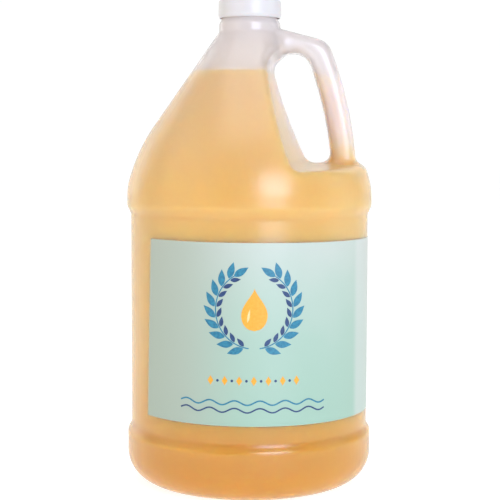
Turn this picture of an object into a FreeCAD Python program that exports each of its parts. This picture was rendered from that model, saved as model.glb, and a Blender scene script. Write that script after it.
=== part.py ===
import FreeCAD, Part
import math
import os

import Sketcher

# One gallon round jug with a moulded-in hollow handle, its oil, a screw cap with its liner, and a wrapped label.
# Millimetres, +Z up. The origin is the middle of the base, the handle is at +X and the label faces -Y.

doc = FreeCAD.newDocument("oil_jug")

# Driving dimensions: name, value, what it is
SIZES = [
    ("bodyRadius", 77.2, "base ring and shoulder ring"),
    ("wallThickness", 1.1, "blown wall of body, shoulder and handle"),
    ("heelRadius", 19.8, "rounding from the base to the side"),
    ("standWidth", 9.0, "flat ring that the jug stands on"),
    ("pushUp", 5.0, "height of the hollow under the base"),
    ("baseRingHeight", 8.9, "upright part of the base ring"),
    ("lowerStepHeight", 8.9, "S-shaped step up to the label panel"),
    ("panelDepth", 2.4, "how far the label panel is set back"),
    ("panelHeight", 125.7, "upright label panel"),
    ("upperStepHeight", 12.9, "S-shaped step out to the shoulder ring"),
    ("shoulderRingHeight", 4.0, "upright part of the shoulder ring"),
    ("shoulderEdgeRadius", 39.6, "first, tighter arc of the shoulder"),
    ("shoulderEdgeAngle", 15.0, "degrees turned by that arc"),
    ("shoulderRadius", 109.0, "second, wider arc of the shoulder"),
    ("coneAngle", 35.0, "half angle of the cone under the neck, degrees"),
    ("collarRadius", 19.0, "collar at the foot of the neck"),
    ("collarHeight", 6.3, "collar at the foot of the neck"),
    ("finishRadius", 17.4, "neck finish under its thread"),
    ("finishHeight", 11.2, "from the collar to the rim"),
    ("finishWall", 2.0, "wall of the neck finish"),
    ("gripRadius", 247.5, "bow of the handle's outer line"),
    ("gripInset", 9.5, "handle's outer line inside the body radius"),
    ("gripRise", 2.0, "level of the bow's centre over the shoulder ring"),
    ("gripThickness", 14.9, "handle, measured in its own plane"),
    ("gripDepth", 23.6, "handle, measured across its plane"),
    ("gripRound", 5.5, "rounded edges of the handle"),
    ("gripRoot", 11.0, "how far the handle's foot reaches under the ledge"),
    ("rootRadius", 7.0, "flare of the handle's foot inside the hole"),
    ("rootSink", 0.8, "how deep that flare runs into the ledge"),
    ("holeTopRadius", 11.4, "rounded top of the finger hole"),
    ("holeDrop", 23.3, "centre of that rounding under the handle's top"),
    ("armAngle", 14.6, "slope of the handle's top, degrees"),
    ("armLift", 1.8, "handle's top over the foot of the collar"),
    ("armCornerRadius", 12.9, "outer corner of the handle"),
    ("armEnd", 8.0, "inner end of the handle's top from the axis"),
    ("armEndAngle", 30.0, "where the hole's top runs into the body, degrees"),
    ("ledgeRise", 21.1, "floor of the finger recess over the shoulder ring"),
    ("toeReach", 9.9, "centre of the recess's foot rounding from the inside of the handle"),
    ("toeRadius", 8.9, "rounding between the flank and the floor of the recess"),
    ("flankRadius", 297.0, "bow of the recess's flank"),
    ("flankDraft", 9.5, "the flank opens towards both sides, degrees"),
    ("floorDraft", 3.8, "the floor falls towards both sides, degrees"),
    ("roofDraft", 5.0, "the roof rises towards both sides, degrees"),
    ("recessRelief", 1.0, "recess roof over the handle's underside"),
    ("roofMargin", 0.3, "level part of the roof outside the cone"),
    ("recessEdge", 6.0, "rounded rim of the recess"),
    ("recessOver", 20.0, "how far the recess cut runs past the body"),
    ("headspace", 24.8, "oil level under the foot of the collar"),
    ("oilGap", 0.3, "oil to wall"),
    ("threadDepth", 1.1, "room for the neck's thread"),
    ("capClearance", 0.35, "cap to thread"),
    ("capWall", 0.9, "cap skirt"),
    ("capTop", 1.3, "cap top plate"),
    ("capSkirt", 9.4, "cap skirt under its top plate"),
    ("capCrown", 1.6, "rounded upper edge of the cap"),
    ("capFootBand", 1.8, "plain band at the foot of the skirt"),
    ("capFootRelief", 0.25, "skirt set back above that band"),
    ("linerThickness", 1.0, "sealing disc"),
    ("linerClearance", 0.35, "sealing disc to skirt"),
    ("labelHeight", 108.0, "label"),
    ("labelLift", 10.4, "label over the foot of the panel"),
    ("labelSpan", 239.0, "label, measured round the panel"),
    ("labelStart", 68.6, "from the front round to the label's left edge"),
    ("labelThickness", 0.2, "paper"),
    ("labelGlue", 0.05, "adhesive film"),
]

# Places that follow from the driving dimensions, shared by the jug's outside, its inside and the oil
LAYOUT = [
    ("panelRadius", "sizes.bodyRadius - sizes.panelDepth"),
    ("heelX", "sizes.bodyRadius - sizes.heelRadius"),
    ("standInner", "heelX - sizes.standWidth"),
    ("domeRadius", "(standInner ^ 2 + sizes.pushUp ^ 2) / (2 * sizes.pushUp)"),
    ("ringTop", "sizes.heelRadius + sizes.baseRingHeight"),
    ("panelBottom", "ringTop + sizes.lowerStepHeight"),
    ("panelTop", "panelBottom + sizes.panelHeight"),
    ("shoulderBottom", "panelTop + sizes.upperStepHeight"),
    ("shoulderTop", "shoulderBottom + sizes.shoulderRingHeight"),
    ("lowerStepRadius", "(sizes.lowerStepHeight ^ 2 + sizes.panelDepth ^ 2) / (4 * sizes.panelDepth)"),
    ("upperStepRadius", "(sizes.upperStepHeight ^ 2 + sizes.panelDepth ^ 2) / (4 * sizes.panelDepth)"),
    ("edgeX", "sizes.bodyRadius - sizes.shoulderEdgeRadius"),
    ("arcShift", "sizes.shoulderRadius - sizes.shoulderEdgeRadius"),
    ("arcX", "edgeX - arcShift * cos(sizes.shoulderEdgeAngle)"),
    ("arcZ", "shoulderTop - arcShift * sin(sizes.shoulderEdgeAngle)"),
    ("coneFootX", "arcX + sizes.shoulderRadius * cos(sizes.coneAngle)"),
    ("coneFootZ", "arcZ + sizes.shoulderRadius * sin(sizes.coneAngle)"),
    ("collarBase", "coneFootZ + (coneFootX - sizes.collarRadius) / tan(sizes.coneAngle)"),
    ("collarTop", "collarBase + sizes.collarHeight"),
    ("rimTop", "collarTop + sizes.finishHeight"),
    ("boreRadius", "sizes.finishRadius - sizes.finishWall"),
    ("ledgeTop", "shoulderTop + sizes.ledgeRise"),
    ("bowX", "sizes.bodyRadius - sizes.gripInset - sizes.gripRadius"),
    ("bowZ", "shoulderTop + sizes.gripRise"),
    ("bowInner", "sizes.gripRadius - sizes.gripThickness"),
    ("rootZ", "ledgeTop - sizes.gripRoot"),
    ("flareZ", "ledgeTop - sizes.rootSink + sizes.rootRadius"),
    ("flareReach", "bowInner - sizes.rootRadius"),
    ("flareX", "bowX + sqrt(flareReach ^ 2 - (flareZ - bowZ) ^ 2)"),
    ("armCos", "cos(sizes.armAngle)"),
    ("armSin", "sin(sizes.armAngle)"),
    ("armLevel", "armSin * sizes.collarRadius + armCos * (collarBase + sizes.armLift)"),
    ("armOverBow", "armLevel - armSin * bowX - armCos * bowZ"),
    ("holeReach", "bowInner - sizes.holeTopRadius"),
    ("holeRise", "armOverBow - sizes.holeDrop"),
    ("holeRun", "sqrt(holeReach ^ 2 - holeRise ^ 2)"),
    ("holeX", "bowX + holeRise * armSin + holeRun * armCos"),
    ("holeZ", "bowZ + holeRise * armCos - holeRun * armSin"),
    ("cornerReach", "sizes.gripRadius - sizes.armCornerRadius"),
    ("cornerRise", "armOverBow - sizes.armCornerRadius"),
    ("cornerRun", "sqrt(cornerReach ^ 2 - cornerRise ^ 2)"),
    ("cornerX", "bowX + cornerRise * armSin + cornerRun * armCos"),
    ("cornerZ", "bowZ + cornerRise * armCos - cornerRun * armSin"),
    ("gripFootX", "bowX + sqrt(bowInner ^ 2 - (ledgeTop - bowZ) ^ 2)"),
    ("toeX", "gripFootX - sizes.toeReach"),
    ("toeZ", "ledgeTop + sizes.toeRadius"),
    ("roofOverHole", "sizes.holeTopRadius + sizes.recessRelief"),
    ("roofUnderCollar", "collarBase - holeZ - roofOverHole"),
    ("roofX", "sizes.collarRadius + roofUnderCollar * tan(sizes.coneAngle) + sizes.roofMargin"),
    ("cutReach", "sizes.bodyRadius + sizes.recessOver"),
    ("fillLevel", "collarBase - sizes.headspace"),
    ("capBore", "sizes.finishRadius + sizes.threadDepth + sizes.capClearance"),
    ("capRadius", "capBore + sizes.capWall"),
    ("capSide", "capRadius - sizes.capFootRelief"),
    ("linerRadius", "capBore - sizes.linerClearance"),
    ("linerTop", "rimTop + sizes.linerThickness"),
    ("capSkirtFoot", "linerTop - sizes.capSkirt"),
    ("capBandTop", "capSkirtFoot + sizes.capFootBand"),
    ("capSideFoot", "capBandTop + sizes.capFootRelief"),
    ("capTopZ", "linerTop + sizes.capTop"),
    ("crownX", "capSide - sizes.capCrown"),
    ("crownZ", "capTopZ - sizes.capCrown"),
    ("labelBottom", "panelBottom + sizes.labelLift"),
    ("labelTop", "labelBottom + sizes.labelHeight"),
    ("labelInner", "panelRadius + sizes.labelGlue"),
    ("labelOuter", "labelInner + sizes.labelThickness"),
    ("labelAngle", "sizes.labelSpan / labelInner * 180 / pi"),
    ("labelTurn", "(sizes.labelSpan / 2 - sizes.labelStart) / labelInner * 180 / pi - 90"),
]

# Corners of one skin of the jug, set in from the outside by the cell named inset
SKIN = [
    ("side", "sizes.bodyRadius - inset"),
    ("panelSide", "layout.panelRadius - inset"),
    ("midSide", "(side + panelSide) / 2"),
    ("domeZ", "sizes.pushUp + inset"),
    ("heelArc", "sizes.heelRadius - inset"),
    ("lowerMidZ", "(layout.ringTop + layout.panelBottom) / 2"),
    ("upperMidZ", "(layout.panelTop + layout.shoulderBottom) / 2"),
    ("edgeArc", "sizes.shoulderEdgeRadius - inset"),
    ("edgeEndX", "layout.edgeX + edgeArc * cos(sizes.shoulderEdgeAngle)"),
    ("edgeEndZ", "layout.shoulderTop + edgeArc * sin(sizes.shoulderEdgeAngle)"),
    ("shoulderArc", "sizes.shoulderRadius - inset"),
    ("coneX", "layout.arcX + shoulderArc * cos(sizes.coneAngle)"),
    ("coneZ", "layout.arcZ + shoulderArc * sin(sizes.coneAngle)"),
    ("throatZ", "coneZ + (coneX - throatRadius) / tan(sizes.coneAngle)"),
    ("bowOuterArc", "sizes.gripRadius - inset"),
    ("bowInnerArc", "layout.bowInner + inset"),
    ("flareArc", "sizes.rootRadius + inset"),
    ("flareFootZ", "layout.flareZ - flareArc"),
    ("flareTopX", "layout.bowX + bowInnerArc * (layout.flareX - layout.bowX) / layout.flareReach"),
    ("flareTopZ", "layout.bowZ + bowInnerArc * (layout.flareZ - layout.bowZ) / layout.flareReach"),
    ("footOuterX", "layout.bowX + sqrt(bowOuterArc ^ 2 - (layout.rootZ - layout.bowZ) ^ 2)"),
    ("holeArc", "sizes.holeTopRadius + inset"),
    ("holeRightX", "layout.bowX + bowInnerArc * (layout.holeX - layout.bowX) / layout.holeReach"),
    ("holeRightZ", "layout.bowZ + bowInnerArc * (layout.holeZ - layout.bowZ) / layout.holeReach"),
    ("holeLeftX", "layout.holeX - holeArc * cos(sizes.armEndAngle)"),
    ("holeLeftZ", "layout.holeZ + holeArc * sin(sizes.armEndAngle)"),
    ("armTopZ", "(layout.armLevel - inset - layout.armSin * sizes.armEnd) / layout.armCos"),
    ("cornerArc", "sizes.armCornerRadius - inset"),
    ("cornerTopX", "layout.cornerX + cornerArc * layout.armSin"),
    ("cornerTopZ", "layout.cornerZ + cornerArc * layout.armCos"),
    ("cornerSideX", "layout.cornerX + cornerArc * (layout.cornerX - layout.bowX) / layout.cornerReach"),
    ("cornerSideZ", "layout.cornerZ + cornerArc * (layout.cornerZ - layout.bowZ) / layout.cornerReach"),
    ("gripWidth", "sizes.gripDepth - 2 * inset"),
    ("gripEdge", "sizes.gripRound - inset"),
    ("rimEdge", "sizes.recessEdge - inset"),
    ("roofArc", "layout.roofOverHole + inset"),
    ("toeArc", "sizes.toeRadius + inset"),
    ("flankArc", "sizes.flankRadius + inset"),
]

# Corners of the finger recess in one skin, at a distance away from the handle's plane. The flank is one arc
# that runs on smoothly from the rounding under the roof to the rounding at the foot.
RECESS = [
    ("shiftX", "-away * tan(sizes.flankDraft)"),
    ("shiftRoof", "away * tan(sizes.roofDraft)"),
    ("shiftFloor", "-away * tan(sizes.floorDraft)"),
    ("roofX", "layout.roofX + shiftX"),
    ("roofHubZ", "layout.holeZ + shiftRoof"),
    ("roofZ", "roofHubZ + {skin}.roofArc"),
    ("toeX", "layout.toeX + shiftX"),
    ("toeHubZ", "layout.toeZ + shiftFloor"),
    ("floorZ", "layout.ledgeTop + shiftFloor - {skin}.inset"),
    ("hubRun", "toeX - roofX"),
    ("hubDrop", "roofHubZ - toeHubZ"),
    ("hubGap", "sqrt(hubRun ^ 2 + hubDrop ^ 2)"),
    ("topReach", "{skin}.flankArc - {skin}.roofArc"),
    ("footReach", "{skin}.flankArc - {skin}.toeArc"),
    ("along", "(topReach ^ 2 - footReach ^ 2 + hubGap ^ 2) / (2 * hubGap)"),
    ("aside", "sqrt(topReach ^ 2 - along ^ 2)"),
    ("flankHubX", "roofX + (along * hubRun + aside * hubDrop) / hubGap"),
    ("flankHubZ", "roofHubZ + (aside * hubRun - along * hubDrop) / hubGap"),
    ("flankTopX", "roofX + (roofX - flankHubX) * {skin}.roofArc / topReach"),
    ("flankTopZ", "roofHubZ + (roofHubZ - flankHubZ) * {skin}.roofArc / topReach"),
    ("flankFootX", "toeX + (toeX - flankHubX) * {skin}.toeArc / footReach"),
    ("flankFootZ", "toeHubZ + (toeHubZ - flankHubZ) * {skin}.toeArc / footReach"),
]


def write_sheet(name, rows):
    """Fill a sheet with one aliased cell per row; the value is a number or a formula."""
    sheet = doc.addObject("Spreadsheet::Sheet", name)
    for line, row in enumerate(rows, start=1):
        value = row[1]
        text = value if isinstance(value, str) else repr(value)
        if isinstance(value, str):
            text = "=" + text
        sheet.set(f"A{line}", row[0])
        sheet.set(f"B{line}", text)
        sheet.setAlias(f"B{line}", row[0])
        if len(row) > 2:
            sheet.set(f"C{line}", row[2])
    doc.recompute()
    return sheet


def number(cell):
    """Value of a cell given as sheet.alias; None stands for the sketch's own axis."""
    if cell is None:
        return 0.0
    sheet, alias = cell.split(".")
    return float(doc.getObject(sheet).get(alias))


def plane_of(body, role):
    """Origin plane of a body."""
    return [feature for feature in body.Origin.OriginFeatures if feature.Role == role][0]


def arc_between(start, end, radius, turn):
    """Arc shorter than a half circle from start to end; turn is 1 to the left and -1 to the right."""
    chord = end - start
    half = chord.Length / 2
    left = FreeCAD.Vector(-chord.y, chord.x, 0).normalize()
    centre = (start + end) / 2 + left * (turn * math.sqrt(radius ** 2 - half ** 2))
    first, last = (start, end) if turn > 0 else (end, start)
    begin = math.atan2(first.y - centre.y, first.x - centre.x)
    finish = math.atan2(last.y - centre.y, last.x - centre.x)
    circle = Part.Circle(centre, FreeCAD.Vector(0, 0, 1), radius)
    return Part.ArcOfCircle(circle, begin, finish)


def bind_corner(sketch, edge, end, axis, cell):
    """Hold one coordinate of a corner at a cell's value, or on the sketch's axis."""
    if cell is None:
        other_axis = -2 if axis == "DistanceX" else -1
        sketch.addConstraint(Sketcher.Constraint("PointOnObject", edge, end, other_axis))
        return
    index = sketch.addConstraint(Sketcher.Constraint(axis, -1, 1, edge, end, number(cell)))
    sketch.setExpression(f"Constraints[{index}]", cell)


def outline(body, name, corners, arcs=None, away=None):
    """Closed sketch in the body's XZ plane. Each corner is a pair of cells, edge i leaves corner i, and arcs
    gives the radius cell and the turn of the edges that aren't straight."""
    arcs = arcs or {}
    sketch = body.newObject("Sketcher::SketchObject", name)
    sketch.AttachmentSupport = (plane_of(body, "XZ_Plane"), [""])
    sketch.MapMode = "FlatFace"
    if away:
        sketch.setExpression("AttachmentOffset.Base.z", away)
    points = [FreeCAD.Vector(number(x), number(z), 0) for x, z in corners]
    starts = []
    for index, start in enumerate(points):
        end = points[(index + 1) % len(points)]
        if index in arcs:
            cell, turn = arcs[index]
            sketch.addGeometry(arc_between(start, end, number(cell), turn))
            starts.append(1 if turn > 0 else 2)
        else:
            sketch.addGeometry(Part.LineSegment(start, end))
            starts.append(1)
    for index, begin in enumerate(starts):
        before = index - 1 if index else len(starts) - 1
        sketch.addConstraint(Sketcher.Constraint("Coincident", before, 3 - starts[before], index, begin))
        bind_corner(sketch, index, begin, "DistanceX", corners[index][0])
        bind_corner(sketch, index, begin, "DistanceY", corners[index][1])
    for index, (cell, turn) in arcs.items():
        radius = sketch.addConstraint(Sketcher.Constraint("Radius", index, number(cell)))
        sketch.setExpression(f"Constraints[{radius}]", cell)
    return sketch


def revolve(body, name, sketch):
    """Full turn of a sketch about the jug's axis."""
    turned = body.newObject("PartDesign::Revolution", name)
    turned.Profile = sketch
    turned.ReferenceAxis = (sketch, ["V_Axis"])
    turned.Angle = 360.0
    return turned


def vessel_corners(skin, top):
    """Half profile of a skin from the middle of the base up to the neck, closed by the corners in top."""
    corners = [
        (None, f"{skin}.domeZ"),
        ("layout.standInner", f"{skin}.inset"),
        ("layout.heelX", f"{skin}.inset"),
        (f"{skin}.side", "sizes.heelRadius"),
        (f"{skin}.side", "layout.ringTop"),
        (f"{skin}.midSide", f"{skin}.lowerMidZ"),
        (f"{skin}.panelSide", "layout.panelBottom"),
        (f"{skin}.panelSide", "layout.panelTop"),
        (f"{skin}.midSide", f"{skin}.upperMidZ"),
        (f"{skin}.side", "layout.shoulderBottom"),
        (f"{skin}.side", "layout.shoulderTop"),
        (f"{skin}.edgeEndX", f"{skin}.edgeEndZ"),
        (f"{skin}.coneX", f"{skin}.coneZ"),
        (f"{skin}.throatRadius", f"{skin}.throatZ"),
    ]
    arcs = {
        0: ("layout.domeRadius", -1),
        2: (f"{skin}.heelArc", 1),
        4: ("layout.lowerStepRadius", 1),
        5: ("layout.lowerStepRadius", -1),
        7: ("layout.upperStepRadius", -1),
        8: ("layout.upperStepRadius", 1),
        10: (f"{skin}.edgeArc", 1),
        11: (f"{skin}.shoulderArc", 1),
    }
    return corners + top, arcs


def recess_sketch(body, skin, side, name, away=None):
    """Outline of the finger recess, in the handle's plane or at a distance away from it."""
    cells = f"{skin}{side}"
    corners = [
        ("layout.cutReach", f"{cells}.roofZ"),
        (f"{cells}.roofX", f"{cells}.roofZ"),
        (f"{cells}.flankTopX", f"{cells}.flankTopZ"),
        (f"{cells}.flankFootX", f"{cells}.flankFootZ"),
        (f"{cells}.toeX", f"{cells}.floorZ"),
        ("layout.cutReach", f"{cells}.floorZ"),
    ]
    arcs = {1: (f"{skin}.roofArc", 1), 2: (f"{skin}.flankArc", 1), 3: (f"{skin}.toeArc", 1)}
    return outline(body, f"{skin}_recess_{name}", corners, arcs, away)


def vessel(skin, top):
    """Body, shoulder and neck of one skin with the finger recess cut out of its handle side."""
    body = doc.addObject("PartDesign::Body", f"{skin}_vessel")
    corners, arcs = vessel_corners(skin, top)
    turned = revolve(body, f"{skin}_turned", outline(body, f"{skin}_profile", corners, arcs))
    doc.recompute()
    cut = body.newObject("PartDesign::SubtractiveLoft", f"{skin}_recess")
    cut.Profile = recess_sketch(body, skin, "Side", "back", "-layout.cutReach")
    cut.Sections = [
        recess_sketch(body, skin, "Middle", "middle"),
        recess_sketch(body, skin, "Side", "front", "layout.cutReach"),
    ]
    cut.Ruled = True
    doc.recompute()
    rim = body.newObject("PartDesign::Fillet", f"{skin}_rim")
    rim.Base = (cut, new_edges(cut.Shape, turned.Shape))
    rim.setExpression("Radius", f"{skin}.rimEdge")
    doc.recompute()
    return body


def new_edges(shape, before):
    """Names of the edges that a cut has left on the surface of the shape before it."""
    near = 1e-3
    old_edges = Part.Compound(before.Edges)
    names = []
    for index, edge in enumerate(shape.Edges, start=1):
        middle = Part.Vertex(edge.valueAt((edge.FirstParameter + edge.LastParameter) / 2))
        on_surface = middle.distToShape(before.Shells[0])[0] < near
        if on_surface and middle.distToShape(old_edges)[0] > near:
            names.append(f"Edge{index}")
    return names


def is_grip_edge(edge):
    """True for an edge that runs along the handle, and not across it, level or upright at its buried ends."""
    tiny = 1e-6
    box = edge.BoundBox
    return box.YLength < tiny and box.XLength > tiny and box.ZLength > tiny


def handle(skin):
    """Handle of one skin: its outline in the parting plane, given its depth and rounded edges. Both ends are
    buried in the body."""
    body = doc.addObject("PartDesign::Body", f"{skin}_handle")
    corners = [
        ("layout.flareX", "layout.rootZ"),
        (f"{skin}.footOuterX", "layout.rootZ"),
        (f"{skin}.cornerSideX", f"{skin}.cornerSideZ"),
        (f"{skin}.cornerTopX", f"{skin}.cornerTopZ"),
        ("sizes.armEnd", f"{skin}.armTopZ"),
        ("sizes.armEnd", f"{skin}.holeLeftZ"),
        (f"{skin}.holeLeftX", f"{skin}.holeLeftZ"),
        (f"{skin}.holeRightX", f"{skin}.holeRightZ"),
        (f"{skin}.flareTopX", f"{skin}.flareTopZ"),
        ("layout.flareX", f"{skin}.flareFootZ"),
    ]
    arcs = {
        1: (f"{skin}.bowOuterArc", 1),
        2: (f"{skin}.cornerArc", 1),
        6: (f"{skin}.holeArc", -1),
        7: (f"{skin}.bowInnerArc", -1),
        8: (f"{skin}.flareArc", -1),
    }
    pad = body.newObject("PartDesign::Pad", f"{skin}_grip")
    pad.Profile = outline(body, f"{skin}_grip_outline", corners, arcs)
    pad.SideType = "Symmetric"
    pad.setExpression("Length", f"{skin}.gripWidth")
    doc.recompute()
    rounded_edges = [f"Edge{index}" for index, edge in enumerate(pad.Shape.Edges, start=1) if is_grip_edge(edge)]
    rounded = body.newObject("PartDesign::Fillet", f"{skin}_grip_edges")
    rounded.Base = (pad, rounded_edges)
    rounded.setExpression("Radius", f"{skin}.gripEdge")
    doc.recompute()
    return body


def skin_sheets(skin, inset, throat):
    """Cells of one skin: how far it is set in, its throat, and its recess at the parting plane and far aside."""
    write_sheet(skin, [("inset", inset), ("throatRadius", throat)] + SKIN)
    for side, away in (("Middle", "0"), ("Side", "layout.cutReach")):
        rows = [(alias, formula.format(skin=skin)) for alias, formula in RECESS]
        write_sheet(f"{skin}{side}", [("away", away)] + rows)


def form(skin, top):
    """Solid of one skin: vessel and handle together."""
    joined = doc.addObject("Part::MultiFuse", f"{skin}_form")
    joined.Shapes = [vessel(skin, top), handle(skin)]
    joined.Refine = True
    doc.recompute()
    return joined


write_sheet("sizes", SIZES)
write_sheet("layout", LAYOUT)
skin_sheets("outside", "0", "sizes.collarRadius")
skin_sheets("inside", "sizes.wallThickness", "layout.boreRadius")
skin_sheets("fill", "sizes.wallThickness + sizes.oilGap", "layout.boreRadius - sizes.oilGap")

# Jug: the outside form less the inside form, which runs out through the mouth
neck = [
    ("sizes.collarRadius", "layout.collarTop"),
    ("sizes.finishRadius", "layout.collarTop"),
    ("sizes.finishRadius", "layout.rimTop"),
    (None, "layout.rimTop"),
]
jug = doc.addObject("Part::Cut", "jug")
jug.Base = form("outside", neck)
jug.Tool = form("inside", [("layout.boreRadius", "layout.capTopZ"), (None, "layout.capTopZ")])

# Oil: the inside form again, a hair smaller, up to the fill level
headroom = doc.addObject("Part::Box", "headroom")
headroom.setExpression("Length", "2 * layout.cutReach")
headroom.setExpression("Width", "2 * layout.cutReach")
headroom.setExpression("Height", "layout.capTopZ")
headroom.setExpression("Placement.Base.x", "-layout.cutReach")
headroom.setExpression("Placement.Base.y", "-layout.cutReach")
headroom.setExpression("Placement.Base.z", "layout.fillLevel")
oil = doc.addObject("Part::Cut", "oil")
oil.Base = form("fill", [("fill.throatRadius", "layout.rimTop"), (None, "layout.rimTop")])
oil.Tool = headroom

# Screw cap: top plate, thin skirt with a plain band at its foot, rounded crown
screw_cap = doc.addObject("PartDesign::Body", "screw_cap")
cap_corners = [
    (None, "layout.linerTop"),
    ("layout.capBore", "layout.linerTop"),
    ("layout.capBore", "layout.capSkirtFoot"),
    ("layout.capRadius", "layout.capSkirtFoot"),
    ("layout.capRadius", "layout.capBandTop"),
    ("layout.capSide", "layout.capSideFoot"),
    ("layout.capSide", "layout.crownZ"),
    ("layout.crownX", "layout.capTopZ"),
    (None, "layout.capTopZ"),
]
revolve(screw_cap, "cap_turned", outline(screw_cap, "cap_profile", cap_corners, {6: ("sizes.capCrown", 1)}))

# Liner: disc between the neck's rim and the cap's top plate
cap_liner = doc.addObject("PartDesign::Body", "cap_liner")
liner_corners = [
    (None, "layout.rimTop"),
    ("layout.linerRadius", "layout.rimTop"),
    ("layout.linerRadius", "layout.linerTop"),
    (None, "layout.linerTop"),
]
revolve(cap_liner, "liner_turned", outline(cap_liner, "liner_profile", liner_corners))

# Label: a thin strip turned about the axis by its span, then turned to its place on the panel
front_label = doc.addObject("PartDesign::Body", "front_label")
label_corners = [
    ("layout.labelInner", "layout.labelBottom"),
    ("layout.labelOuter", "layout.labelBottom"),
    ("layout.labelOuter", "layout.labelTop"),
    ("layout.labelInner", "layout.labelTop"),
]
wrapped = revolve(front_label, "label_wrapped", outline(front_label, "label_profile", label_corners))
wrapped.Midplane = True
wrapped.setExpression("Angle", "layout.labelAngle")
front_label.Placement = FreeCAD.Placement(FreeCAD.Vector(), FreeCAD.Rotation(FreeCAD.Vector(0, 0, 1), 0))
front_label.setExpression("Placement.Rotation.Angle", "layout.labelTurn")

doc.recompute()
pieces = [jug, oil, screw_cap, cap_liner, front_label]
for item in doc.Objects:
    if "Invalid" in item.State or "Error" in item.State:
        raise RuntimeError(f"{item.Name}: {item.getStatusString()}")
for piece in pieces:
    if piece.Shape.isNull() or not piece.Shape.isValid() or len(piece.Shape.Solids) != 1:
        raise RuntimeError(f"{piece.Name}: not one valid solid")

os.makedirs("parts", exist_ok=True)
for piece in pieces:
    piece.Shape.exportStep(f"parts/{piece.Label}.step")
    print(piece.Label, round(piece.Shape.Volume / 1000, 2), "cubic centimetres")
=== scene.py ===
import math

import bmesh
import bpy
import numpy as np
from mathutils import Matrix, Vector
from mathutils.bvhtree import BVHTree
from mathutils.kdtree import KDTree


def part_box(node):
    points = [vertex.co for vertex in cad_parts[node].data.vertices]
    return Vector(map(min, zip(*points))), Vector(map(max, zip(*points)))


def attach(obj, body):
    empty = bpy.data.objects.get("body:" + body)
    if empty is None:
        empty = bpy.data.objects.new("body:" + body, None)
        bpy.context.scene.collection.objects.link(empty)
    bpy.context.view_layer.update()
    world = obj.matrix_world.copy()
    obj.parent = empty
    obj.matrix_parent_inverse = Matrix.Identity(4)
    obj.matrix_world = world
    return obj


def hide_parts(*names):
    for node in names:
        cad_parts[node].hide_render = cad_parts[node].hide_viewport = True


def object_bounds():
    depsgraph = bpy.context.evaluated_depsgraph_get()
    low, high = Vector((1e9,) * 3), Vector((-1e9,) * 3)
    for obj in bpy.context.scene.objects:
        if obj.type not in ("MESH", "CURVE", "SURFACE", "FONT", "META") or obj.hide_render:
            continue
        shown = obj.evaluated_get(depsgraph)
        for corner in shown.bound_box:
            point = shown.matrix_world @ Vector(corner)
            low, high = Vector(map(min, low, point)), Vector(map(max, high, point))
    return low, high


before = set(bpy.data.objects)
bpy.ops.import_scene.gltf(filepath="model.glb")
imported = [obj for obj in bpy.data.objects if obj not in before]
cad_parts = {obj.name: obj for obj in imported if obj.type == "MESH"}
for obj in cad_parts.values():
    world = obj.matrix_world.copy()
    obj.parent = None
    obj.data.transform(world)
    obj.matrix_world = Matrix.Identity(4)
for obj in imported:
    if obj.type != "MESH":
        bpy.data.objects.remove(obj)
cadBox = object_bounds()
mm = 0.001
print("frame loaded:", ", ".join(sorted(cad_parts)))


def hexColour(text):
    # sRGB hex to linear RGBA
    parts = [int(text[i:i + 2], 16) / 255 for i in (1, 3, 5)]
    return [c / 12.92 if c <= 0.04045 else ((c + 0.055) / 1.055) ** 2.4 for c in parts] + [1.0]


def addNode(tree, kind, values=None, links=None, stops=(), **settings):
    # values set sockets, links feed them, stops are a ramp's (place, hex colour) pairs, settings the rest
    node = tree.nodes.new(kind)
    for name, value in settings.items():
        setattr(node, name, value)
    for socket, value in (values or {}).items():
        node.inputs[socket].default_value = value
    for socket, source in (links or {}).items():
        tree.links.new(source, node.inputs[socket])
    for i, (place, colour) in enumerate(stops):
        if i >= len(node.color_ramp.elements):
            node.color_ramp.elements.new(place)
        node.color_ramp.elements[i].position = place
        node.color_ramp.elements[i].color = hexColour(colour)
    return node


# sockets of a Mix node that mixes colours
mixFactor = 0
mixFirst = 6
mixSecond = 7
mixResult = 2


def newMaterial(name, **values):
    # Principled material, with the values that are the same all over it
    material = bpy.data.materials.new(name)
    material.use_nodes = True
    tree = material.node_tree
    shader = tree.nodes["Principled BSDF"]
    for socket, value in values.items():
        shader.inputs[socket.replace("_", " ")].default_value = value
    return material, tree, shader


def newPiece(name, mesh, material, body, replaced=None):
    piece = bpy.data.objects.new(name, mesh)
    bpy.context.scene.collection.objects.link(piece)
    mesh.materials.clear()
    mesh.materials.append(material)
    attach(piece, body)
    if replaced:
        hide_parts(replaced)
    return piece


def meshFrom(bm, name, sharpAngle=math.radians(40), weld=0.0001 * mm):
    # finished mesh, shaded smooth except over its sharp edges
    bmesh.ops.remove_doubles(bm, verts=bm.verts, dist=weld)
    bmesh.ops.recalc_face_normals(bm, faces=bm.faces)
    for face in bm.faces:
        face.smooth = True
    for edge in bm.edges:
        edge.smooth = edge.calc_face_angle(0) < sharpAngle
    mesh = bpy.data.meshes.new(name)
    bm.to_mesh(mesh)
    bm.free()
    return mesh


def applied(mesh, *modifiers):
    # mesh after the modifiers, each given as (kind, settings)
    holder = bpy.data.objects.new("holder", mesh)
    bpy.context.scene.collection.objects.link(holder)
    for kind, settings in modifiers:
        modifier = holder.modifiers.new(kind, kind)
        for name, value in settings.items():
            setattr(modifier, name, value)
    bpy.context.view_layer.update()
    result = bpy.data.meshes.new_from_object(holder.evaluated_get(bpy.context.evaluated_depsgraph_get()))
    bpy.data.objects.remove(holder)
    return result


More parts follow.
